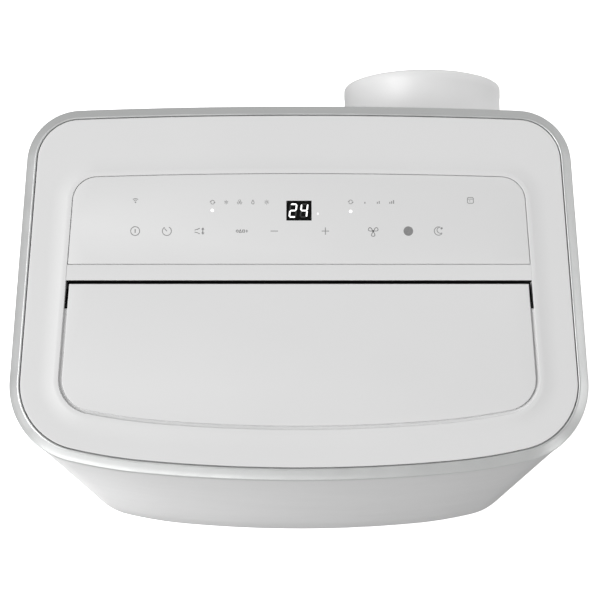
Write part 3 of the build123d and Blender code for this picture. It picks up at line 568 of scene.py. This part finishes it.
def make_flap_ledge():
    """Ledge that the flap's edge lies on, with the floor of the groove round the flap as a low step."""
    skin = Skin()
    start = PIVOT_Y - 3.6 * MM
    groove, rest, low = TOP_Z - GROOVE_DEPTH, TOP_Z - LEDGE_DEPTH, TOP_Z - LEDGE_UNDERSIDE
    profile = [
        (0.3, groove), (-2.3, groove), (-2.55, groove - 0.25 * MM), (-2.55, rest), (-7.6, rest),
        (-8.0, rest - 0.4 * MM), (-8.0, low), (0.3, low),
    ]
    rings = [skin.ring(well_plan.front_run(start, grow * MM), z) for grow, z in profile]
    skin.loft(rings + [rings[0]], closed=False)
    for end in (0, -1):
        skin.cap([ring[end] for ring in rings])
    return new_object("flap_ledge", skin.finish("flap_ledge", 50), COVER_WHITE)


def make_well_wall():
    """Wall of the flap's opening below the cover's edge."""
    skin = Skin()
    rings = [skin.ring(well_plan.front_run(SLOT_REAR_Y), TOP_Z - depth) for depth in (3.5 * MM, WELL_DEPTH)]
    skin.loft(rings, closed=False)
    return new_object("well_wall", skin.finish("well_wall", 50), COVER_WHITE)


def make_cover_inside():
    """What shows of the cover inside its raised middle."""
    pieces = [make_strip()]
    # Dark sheet of painted shade in the gap behind the flap.
    make_slot_painted_shade()
    pieces += [make_panel_recess(), make_flap_ledge(), make_well_wall()]


def make_panel():
    """Touch panel: flat plate with a fine rounded edge. Returns the height of its face."""
    skin = Skin()
    top = TOP_Z - PANEL_DROP
    rings = []
    for side, drop in round_steps(0.35 * MM, 3):
        rings.append(skin.ring(well_plan.cut(-PANEL_GAP - side, low=PANEL_FRONT_Y, inset=side), top - drop))
    rings.append(skin.ring(well_plan.cut(-PANEL_GAP, low=PANEL_FRONT_Y), top - 2.3 * MM))
    skin.loft(rings)
    skin.cap(rings[0], True)
    skin.cap(rings[-1])
    panel = new_object("control_panel_skin", skin.finish("control_panel_skin", 40), PANEL_WHITE)
    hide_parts("control_panel")
    return top


def make_flap():
    """Outlet flap: plate with rounded edges, with ribs, lugs and pins below."""
    skin = Skin()
    top = TOP_Z - 0.05 * MM
    low = TOP_Z - FLAP_THICK
    rings = []
    for side, drop in round_steps(0.9 * MM, 5):
        rings.append(skin.ring(well_plan.cut(-FLAP_INSET - side, high=FLAP_REAR_Y, inset=side), top - drop))
    rings.append(skin.ring(well_plan.cut(-FLAP_INSET, high=FLAP_REAR_Y), low + 0.3 * MM))
    rings.append(skin.ring(well_plan.cut(-FLAP_INSET - 0.3 * MM, high=FLAP_REAR_Y, inset=0.3 * MM), low))
    skin.loft(rings)
    skin.cap(rings[0])
    skin.cap(rings[-1], True)
    flap = new_object("flap_skin", skin.finish("flap_skin", 40), COVER_WHITE, "flap")
    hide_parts("flap")
    make_flap_underside(low)


def bar(name, x, y, z, radius, material, body, steps=3):
    """Box with rounded edges between two corners."""
    bm = bmesh.new()
    bmesh.ops.create_cube(bm, size=1.0)
    for vertex in bm.verts:
        vertex.co.x = x[0] if vertex.co.x < 0 else x[1]
        vertex.co.y = y[0] if vertex.co.y < 0 else y[1]
        vertex.co.z = z[0] if vertex.co.z < 0 else z[1]
    bmesh.ops.bevel(bm, geom=bm.edges[:], offset=radius, segments=steps, profile=0.5, affect="EDGES")
    mesh = bpy.data.meshes.new(name)
    bm.to_mesh(mesh)
    bm.free()
    smooth(mesh, 50)
    return new_object(name, mesh, material, body)


def turned(name, profile, origin, axis, material, body, segments=96, angle=35):
    """Surface of revolution: profile is (along, radius) pairs from the origin along an axis."""
    skin = Skin()
    along = Vector(axis)
    side = Vector((0, 0, 1)) if abs(along.z) < 0.5 else Vector((1, 0, 0))
    other = along.cross(side)
    rings = []
    for distance, radius in profile:
        points = []
        for i in range(segments):
            a = 2 * math.pi * i / segments
            spoke = side * math.cos(a) + other * math.sin(a)
            points.append(Vector(origin) + along * distance + spoke * radius)
        rings.append(skin.verts(points))
    skin.loft(rings)
    if profile[0] != profile[-1]:
        skin.cap(rings[0])
        skin.cap(rings[-1], True)
    return new_object(name, skin.finish(name, angle), material, body)


def make_flap_underside(low):
    """Five ribs, two lugs and their pins, below the flap's plate."""
    for index, x in enumerate((-120, -60, 0, 60, 120), start=1):
        rib = bar(f"flap_rib_{index}", ((x - 1) * MM, (x + 1) * MM), (-132 * MM, -62 * MM),
                  (708 * MM, low + 0.2 * MM), 0.3 * MM, COVER_WHITE, "flap")
    for side, name in ((-1, "left"), (1, "right")):
        x = sorted((side * 186 * MM, side * 192 * MM))
        lug = bar(f"flap_lug_{name}", x, (PIVOT_Y - 5 * MM, PIVOT_Y + 5 * MM),
                  (PIVOT_Z - 5 * MM, low + 0.2 * MM), 1.5 * MM, COVER_WHITE, "flap")
        length, chamfer = 17 * MM, 0.4 * MM
        profile = [(0, chamfer), (0, PIN_RADIUS - chamfer), (chamfer, PIN_RADIUS), (length, PIN_RADIUS),
                   (length + chamfer, PIN_RADIUS - chamfer)]
        start = (side * 191 * MM, PIVOT_Y, PIVOT_Z)
        pin = turned(f"flap_pin_{name}", profile, start, (side, 0, 0), DARK, "flap", 32)


# ------------------------------------------------------------------ shells and collar
def front_path(grow):
    """Front half of the casing outline from the left seam round to the right seam."""
    seam = SPLIT_Y - 0.6 * MM
    stops = sorted({seam, *GRIP_Y}, reverse=True)
    side_ys = []
    for high, low in zip(stops, stops[1:]):
        side_ys += [high + (low - high) * i / 6 for i in range(6)]
    side_ys.append(stops[-1])
    left = [case_plan.side_point(y, grow, -1) for y in side_ys]
    kept = [(p, q) for p, q in case_plan.base if p.y < stops[-1] - 3 * MM]
    front = [p + q * grow for p, q in kept if p.x < 0] + [p + q * grow for p, q in kept if p.x >= 0]
    right = [case_plan.side_point(y, grow, 1) for y in reversed(side_ys)]
    return left + front + right


def make_front_shell():
    """Front casing: smooth bowed wall with windows for the grip pockets, returned along every edge."""
    skin = Skin()
    top = RIM_LOW
    levels = [SHELL_LOW + 0.8 * MM, 0.15, 0.3, 0.45, GRIP_Z[0], GRIP_Z[1], 0.64, top - 0.5 * MM]
    outer = [skin.ring(front_path(-SHELL_INSET - 0.8 * MM), SHELL_LOW)]
    outer.append(skin.ring(front_path(-SHELL_INSET - 0.25 * MM), SHELL_LOW + 0.25 * MM))
    outer += [skin.ring(front_path(-SHELL_INSET), z) for z in levels]
    outer.append(skin.ring(front_path(-SHELL_INSET - 0.4 * MM), top - 0.1 * MM))
    inner_z = [SHELL_LOW + 0.1 * MM, SHELL_LOW + 0.3 * MM] + levels + [top - 0.1 * MM]
    inner = [skin.ring(front_path(-SHELL_INSET - 3 * MM), z) for z in inner_z]
    path = front_path(-SHELL_INSET)
    count = len(path)
    row = 2 + levels.index(GRIP_Z[0])

    def in_window(i, j):
        a, b = path[i], path[i + 1]
        low, high = min(a.y, b.y), max(a.y, b.y)
        beside = abs(a.x) > 0.2 and low > GRIP_Y[0] - 1e-6 and high < GRIP_Y[1] + 1e-6
        return j == row and beside

    for j in range(len(outer) - 1):
        for i in range(count - 1):
            if in_window(i, j):
                for outside, inside in ((outer[j], inner[j]), (outer[j + 1], inner[j + 1])):
                    skin.bm.faces.new((outside[i], outside[i + 1], inside[i + 1], inside[i]))
                for a, other in ((i, i - 1), (i + 1, i + 1)):
                    if not in_window(other, j):
                        skin.bm.faces.new((outer[j][a], outer[j + 1][a], inner[j + 1][a], inner[j][a]))
                continue
            skin.bm.faces.new((outer[j][i], outer[j][i + 1], outer[j + 1][i + 1], outer[j + 1][i]))
            skin.bm.faces.new((inner[j][i], inner[j + 1][i], inner[j + 1][i + 1], inner[j][i + 1]))
    for j in (0, -1):
        skin.join(outer[j], inner[j], closed=False)
    for end in (0, -1):
        skin.join([ring[end] for ring in outer], [ring[end] for ring in inner], closed=False)
    shell = new_object("front_shell_skin", skin.finish("front_shell_skin", 35), WHITE)
    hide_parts("front_shell")


def make_collar():
    """Hose collar: thin round wall with a rounded mouth and a shallow band between two low beads."""
    low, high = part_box("exhaust_collar")
    radius = (high.x - low.x) / 2
    wall = 3.4 * MM
    profile = [
        (low.y + 0.5 * MM, radius - wall), (low.y, radius - wall + 0.5 * MM), (low.y, radius - 0.6 * MM),
        (low.y + 0.6 * MM, radius), (low.y + 8 * MM, radius), (low.y + 8.6 * MM, radius - 0.35 * MM),
        (high.y - 9.6 * MM, radius - 0.35 * MM), (high.y - 9 * MM, radius), (high.y - 2.0 * MM, radius),
        (high.y - 1.1 * MM, radius - 0.25 * MM), (high.y - 0.3 * MM, radius - 0.9 * MM),
        (high.y, radius - 1.7 * MM), (high.y - 0.3 * MM, radius - 2.6 * MM),
        (high.y - 1.2 * MM, radius - wall + 0.1 * MM), (high.y - 3 * MM, radius - wall),
        (low.y + 0.5 * MM, radius - wall),
    ]
    centre = (PORT_X, 0, PORT_Z)
    # The collar's lightened plastic is partly painted light.
    collar = turned("exhaust_collar_skin", profile, centre, (0, 1, 0), COLLAR_WHITE_PAINTED_LIGHT, "collar", 192, 40)
    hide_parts("exhaust_collar")


# ------------------------------------------------------------------ display and printed marks
class Marks:
    """Flat printed shapes on the panel, in millimetres about a moving centre."""

    def __init__(self, z):
        self.skin, self.z = Skin(), z
        self.centre, self.size = Vector((0, 0)), 1.0

    def at(self, x, y, size=1.0):
        self.centre, self.size = Vector((x, y)), size
        return self

    def fill(self, points):
        placed = [(self.centre + Vector(p) * self.size) * MM for p in points]
        area = sum(a.x * b.y - b.x * a.y for a, b in zip(placed, placed[1:] + placed[:1]))
        if area < 0:
            placed.reverse()
        self.skin.cap(self.skin.ring(placed, self.z))
        return self

    def stroke(self, points, width, closed=False):
        points = [Vector(p) * self.size for p in points]
        count = len(points)
        left, right = [], []
        for i, point in enumerate(points):
            before = points[i - 1] if closed or i > 0 else point
            after = points[(i + 1) % count] if closed or i < count - 1 else point
            a = (point - before).normalized() if point != before else (after - point).normalized()
            b = (after - point).normalized() if after != point else a
            normal = Vector((-(a + b).y, (a + b).x)).normalized()
            reach = width / 2 / max(0.4, normal.dot(Vector((-b.y, b.x))))
            left.append((self.centre + point + normal * reach) * MM)
            right.append((self.centre + point - normal * reach) * MM)
        rows = self.skin.ring(right, self.z), self.skin.ring(left, self.z)
        self.skin.join(*rows, closed=closed)
        return self

    def arc(self, radius, start, end, width, x=0.0, y=0.0, squash=1.0):
        steps = max(6, int(abs(end - start) / 8))
        whole = abs(end - start) >= 359.9
        angles = [math.radians(start + (end - start) * i / steps) for i in range(steps + (0 if whole else 1))]
        path = [(x + radius * math.cos(a), y + radius * squash * math.sin(a)) for a in angles]
        return self.stroke(path, width, whole)

    def disc(self, radius, x=0.0, y=0.0, squash=1.0):
        angles = [2 * math.pi * i / 32 for i in range(32)]
        return self.fill([(x + radius * math.cos(a), y + radius * squash * math.sin(a)) for a in angles])

    def done(self, name, material, slot="control_surface"):
        mesh = self.skin.finish(name, 30, False)
        piece = new_object(name, mesh, material)
        return piece


def polar(radius, degrees):
    """Point at a distance and an angle from the centre."""
    a = math.radians(degrees)
    return (radius * math.cos(a), radius * math.sin(a))


def petal(angle, reach, width, steps=12):
    """Outline of one fan blade, from the hub out and back."""
    points = []
    for i in range(steps):
        t = 2 * math.pi * i / steps
        along = reach * (0.56 - 0.44 * math.cos(t))
        across = width * math.sin(t) * (0.55 - 0.35 * math.cos(t))
        a = math.radians(angle)
        x = along * math.cos(a) - across * math.sin(a)
        y = along * math.sin(a) + across * math.cos(a)
        points.append((x, y))
    return points


def draw_touch_row(marks, line):
    """Nine touch marks in a row in front of the display."""
    y = TOUCH_ROW_Y
    marks.at(-142.6, y).arc(3.9, 0, 360, line).stroke([(0, -1.7), (0, 1.7)], line * 1.2)
    marks.at(-115.0, y).arc(3.9, 62, -238, line).stroke([(0.2, -0.2), (-2.2, 2.3)], line)
    swing = marks.at(-86.8, y)
    for side in (1, -1):
        swing.stroke([(0.4, 2.4 * side), (-1.8, 1.5 * side), (-4.0, 0.9 * side)], line)
        swing.fill([(1.8, 1.3 * side), (4.4, 1.3 * side), (3.1, 3.3 * side)])
    swing.stroke([(3.1, -1.5), (3.1, 1.5)], line * 1.2)
    marks.at(-21.5, y).stroke([(-3.2, 0), (3.2, 0)], line)
    plus = marks.at(23.0, y).stroke([(-3.2, 0), (3.2, 0)], line)
    plus.stroke([(0, 0.35), (0, 3.2)], line).stroke([(0, -0.35), (0, -3.2)], line)
    fan = marks.at(64.6, y - 0.1).disc(0.8)
    for angle in (30, 150, 270):
        fan.stroke(petal(angle, 4.6, 2.4), line, True)
    moon = marks.at(121.5, y)
    outline = []
    for i in range(19):
        outline.append(polar(3.7, 70 + 250 * i / 18))
    for i in range(1, 12):
        x, y = polar(2.9, -52 - 175 * i / 12)
        outline.append((1.6 + x, 0.9 + y))
    moon.stroke(outline, line * 0.9, True)
    moon.disc(0.95, 2.7, 2.4)


def draw_mode_mark(marks):
    """Generic selector mark: four small shapes in a row."""
    line = 0.62
    marks.at(-49.8, TOUCH_ROW_Y)
    marks.arc(0.95, 0, 360, line, -3.9).stroke([(-2.3, -1.2), (-1.3, 1.2), (-0.3, -1.2)], line, True)
    marks.stroke([(0.6, -0.95), (2.5, -0.95), (2.5, 0.95), (0.6, 0.95)], line, True)
    marks.stroke([(3.5, 0), (5.3, 0)], line).stroke([(4.4, 0.4), (4.4, 1.3)], line)
    marks.stroke([(4.4, -0.4), (4.4, -1.3)], line)


def draw_legends(marks):
    """Small pictograms over the indicator lights: five modes and four fan speeds."""
    line, size, y = 0.5, LEGEND_SIZE, LEGEND_Y
    for x, lift in ((-75.1, 0), (45.4, 0.2)):
        auto = marks.at(x, y + lift, size)
        auto.arc(1.25, 150, 20, line, -0.2).arc(1.25, -30, -160, line, -0.2)
        auto.fill([(0.3, 0.1), (1.8, 0.1), (1.05, -0.8)]).fill([(-2.2, -0.1), (-0.7, -0.1), (-1.45, 0.8)])
    snow = marks.at(-63.5, y, size)
    for angle in (30, 90, 150):
        for sign in (1, -1):
            snow.stroke([polar(0.3 * sign, angle), polar(1.4 * sign, angle)], line)
    blade = marks.at(-51.8, y, size)
    for angle in (90, 210, 330):
        blade.stroke(petal(angle, 1.55, 1.2, 8), line * 0.8, True)
    drop = [(0, 1.5), (-0.75, 0.1), (-0.8, -0.5), (-0.4, -1.1), (0.4, -1.1), (0.8, -0.5), (0.75, 0.1)]
    marks.at(-40.2, y - 0.1, size).stroke(drop, line, True)
    sun = marks.at(-28.2, y, size).arc(0.62, 0, 360, line)
    for index in range(8):
        sun.stroke([polar(1.05, 45 * index), polar(1.6, 45 * index)], line * 0.8)
    for bars, x in enumerate((57.5, 69.2, 80.9), start=1):
        level = marks.at(x, y + 0.1, size)
        for index in range(bars):
            left = (index - (bars - 1) / 2) * 1.2
            level.stroke([(left, -1.1), (left, 0.1 + 0.55 * index)], line * 1.7)


def draw_corner_marks(marks):
    """Signal mark at the left and reset mark at the right, behind the touch row."""
    signal = marks.at(-142.7, 45.8, 1.1)
    signal.fill([(0, -0.6), (0.9, 0.4), (0, 0.75), (-0.9, 0.4)])
    signal.arc(1.9, 48, 132, 0.6).arc(3.1, 48, 132, 0.6)
    frame_mark = marks.at(149.6, 47.6)
    corner = []
    for cx, cy, start in ((1.6, 1.6, 0), (-1.6, 1.6, 90), (-1.6, -1.6, 180), (1.6, -1.6, 270)):
        for step in range(4):
            x, y = polar(1.0, start + 30 * step)
            corner.append((cx + x, cy + y))
    frame_mark.stroke(corner, 0.55, True).stroke([(-2.2, 1.1), (2.2, 1.1)], 0.5)
    frame_mark.stroke([(-0.6, -1.0), (-0.6, 0.1)], 0.5)


def segment(x, y, length, upright, lean, thick=1.32):
    """Six-sided bar of a seven-segment digit, leaning to the right with height."""
    half, tip = length / 2 - 0.12, thick / 2
    bar_points = [(-half, 0), (-half + tip, tip), (half - tip, tip), (half, 0), (half - tip, -tip),
                  (-half + tip, -tip)]
    out = []
    for a, b in bar_points:
        px, py = (x - b, y + a) if upright else (x + a, y + b)
        out.append((px + lean * py, py))
    return out


def make_display(top):
    """Black window a little proud of its recess, two leaning seven-segment digits behind it."""
    low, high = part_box("display_window")
    skin = Skin()
    window_top = top + 0.02 * MM
    rings = []
    edge = 0.1 * MM
    levels = [(WINDOW_GROW, top - 1.0 * MM), (WINDOW_GROW, window_top - edge), (WINDOW_GROW - edge, window_top)]
    for grow, z in levels:
        x0, x1, y0, y1 = low.x - grow, high.x + grow, low.y - grow, high.y + grow
        rings.append(skin.verts([(x0, y0, z), (x1, y0, z), (x1, y1, z), (x0, y1, z)]))
    skin.loft(rings)
    skin.cap(rings[-1])
    window = new_object("display_window_skin", skin.finish("display_window_skin", 30), WINDOW)
    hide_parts("display_window")
    middle_y = (low.y + high.y) / 2 / MM
    lit, dim = Marks(window_top + 0.02 * MM), Marks(window_top + 0.02 * MM)
    width, height, lean = 5.3, 11.3, 0.10
    bars = {
        "a": (0, height / 2, width, False), "g": (0, 0, width, False), "d": (0, -height / 2, width, False),
        "f": (-width / 2, height / 4, height / 2, True), "b": (width / 2, height / 4, height / 2, True),
        "e": (-width / 2, -height / 4, height / 2, True), "c": (width / 2, -height / 4, height / 2, True),
    }
    for centre, shown in ((-5.2, "abged"), (4.4, "fgbc")):
        for name, (x, y, length, upright) in bars.items():
            target = lit if name in shown else dim
            target.at(centre, middle_y).fill(segment(x, y, length, upright, lean))
    lit.done("digits_lit", SEGMENT_ON, "display_black")
    dim.done("digits_unlit", SEGMENT_OFF, "display_black")


def make_marks(top):
    """Printed marks and indicator lights on the panel's face."""
    z = top + 0.03 * MM
    row = Marks(z)
    draw_touch_row(row, 0.68)
    draw_corner_marks(row)
    row.done("marks_touch_row", INK)
    dark = Marks(z)
    draw_mode_mark(dark)
    dark.done("mark_selector", INK_DARK)
    dot = Marks(z).at(95.2, TOUCH_ROW_Y).disc(4.2)
    dot.done("mark_round_key", INK)
    legends = Marks(z)
    draw_legends(legends)
    legends.done("marks_legends", INK)
    lights = Marks(z + 0.02 * MM)
    lights.at(-75.6, 38.7).disc(1.3)
    lights.at(45.1, 37.8).disc(1.3)
    lights.done("lights_lit", LED_ON)
    faint = Marks(z + 0.02 * MM).at(16.5, 35.7).disc(0.8, squash=1.5)
    faint.done("light_faint", LED_FAINT)


# ------------------------------------------------------------------ set and camera
def make_floor():
    """Pale studio floor: a wide flat disc that curves up far away all round."""
    skin = Skin()
    turns = [2 * math.pi * i / 64 for i in range(64)]
    profile = [(1.0, 0.0), (3.0, 0.0), (9.0, 0.0), (11.0, 0.35), (12.5, 1.5), (13.3, 3.5), (13.5, 7.0)]
    rings = []
    for radius, z in profile:
        rings.append(skin.verts([(radius * math.cos(a), radius * math.sin(a), z) for a in turns]))
    skin.cap(rings[0])
    skin.loft(rings)
    mesh = skin.finish("studio_floor", 60)
    floor = bpy.data.objects.new("studio_floor", mesh)
    bpy.context.scene.collection.objects.link(floor)
    look = Look("floor_paper")
    paper = look.noise(3.0, 3.0)
    look.link(look.ramp(paper, [(0.3, (0.93, 0.93, 0.93)), (0.7, (0.96, 0.96, 0.96))]),
              look.shader.inputs["Base Color"])
    look.link(look.remap(look.noise(160.0, 4.0), 0.85, 0.95), look.shader.inputs["Roughness"])
    look.set(Emission_Color=(1, 1, 1, 1), Emission_Strength=FLOOR_GLOW)
    mesh.materials.append(look.material)
    floor.visible_diffuse = False
    floor.visible_glossy = False


def area_light(name, position, target, size, power, colour=(1, 1, 1)):
    light = bpy.data.lights.new(name, "AREA")
    light.shape = "RECTANGLE"
    light.size, light.size_y = size
    light.energy = power
    light.color = colour
    obj = bpy.data.objects.new(name, light)
    bpy.context.scene.collection.objects.link(obj)
    obj.location = position
    obj.rotation_euler = (Vector(target) - Vector(position)).to_track_quat("-Z", "Y").to_euler()
    return obj


def make_world():
    """Soft studio surround: brighter towards the horizon, dimmer above and on the left."""
    world = bpy.data.worlds.new("studio")
    world.use_nodes = True
    tree = world.node_tree
    coord = tree.nodes.new("ShaderNodeTexCoord")
    split = tree.nodes.new("ShaderNodeSeparateXYZ")
    height = tree.nodes.new("ShaderNodeMapRange")
    height.inputs["From Min"].default_value = 0.0
    height.inputs["From Max"].default_value = 0.9
    height.inputs["To Min"].default_value = WORLD_LOW
    height.inputs["To Max"].default_value = WORLD_HIGH
    sideways = tree.nodes.new("ShaderNodeMapRange")
    sideways.inputs["From Min"].default_value = -0.8
    sideways.inputs["From Max"].default_value = 0.8
    sideways.inputs["To Min"].default_value = WORLD_LEFT
    sideways.inputs["To Max"].default_value = WORLD_RIGHT
    both = tree.nodes.new("ShaderNodeMath")
    both.operation = "MULTIPLY"
    tree.links.new(coord.outputs["Generated"], split.inputs["Vector"])
    tree.links.new(split.outputs["Z"], height.inputs["Value"])
    tree.links.new(split.outputs["X"], sideways.inputs["Value"])
    tree.links.new(height.outputs["Result"], both.inputs[0])
    tree.links.new(sideways.outputs["Result"], both.inputs[1])
    tree.nodes["Background"].inputs["Color"].default_value = (1, 1, 1, 1)
    tree.links.new(both.outputs["Value"], tree.nodes["Background"].inputs["Strength"])
    bpy.context.scene.world = world


def make_lights():
    """One large soft light high on the left, and small ones that shape the front, the ring and the collar."""
    key = area_light("key", (-0.64, -0.62, 0.38), (-0.05, -0.19, 0.42), (0.3, 0.4), KEY_POWER)
    card = area_light("front_card", (-0.75, -1.6, 0.7), (-0.1, -0.15, 0.7), (1.5, 0.6), CARD_POWER)
    area_light("overhead", (-6.0, -1.3, 7.6), (0, -0.05, 0.6), (4.2, 4.2), OVERHEAD_POWER)
    edge = area_light("right_edge", (2.2, -0.1, 0.9), (0.2, 0, 0.7), (1.0, 0.8), EDGE_POWER)
    hose = area_light("hose_side", (1.5, 0.9, 0.65), (0.18, 0.17, 0.53), (0.8, 0.6), HOSE_POWER)
    area_light("corner", (1.5, -1.5, 0.8), (0.2, -0.15, 0.7), (0.35, 0.6), CORNER_POWER)
    key.visible_glossy = hose.visible_glossy = key.visible_camera = False
    card.visible_diffuse = edge.visible_diffuse = False


def make_camera():
    """Camera nearly straight above, tilted a little back from the front."""
    camera = bpy.data.cameras.new("camera")
    camera.lens, camera.sensor_width = 132.0, 36.0
    camera.clip_end = 60
    obj = bpy.data.objects.new("camera", camera)
    bpy.context.scene.collection.objects.link(obj)
    obj.location = (0.0009, -0.359, 2.593)
    obj.rotation_euler = (math.radians(9.623), 0, 0)
    bpy.context.scene.camera = obj


# ------------------------------------------------------------------ main
dress_cad_nodes()
make_rim()
make_top_cover()
make_cover_inside()
panel_top = make_panel()
make_display(panel_top)
make_marks(panel_top)
make_flap()
make_front_shell()
make_collar()
make_floor()
make_world()
make_lights()
make_camera()
scene = bpy.context.scene
scene.view_settings.view_transform = "Standard"
bpy.context.view_layer.update()
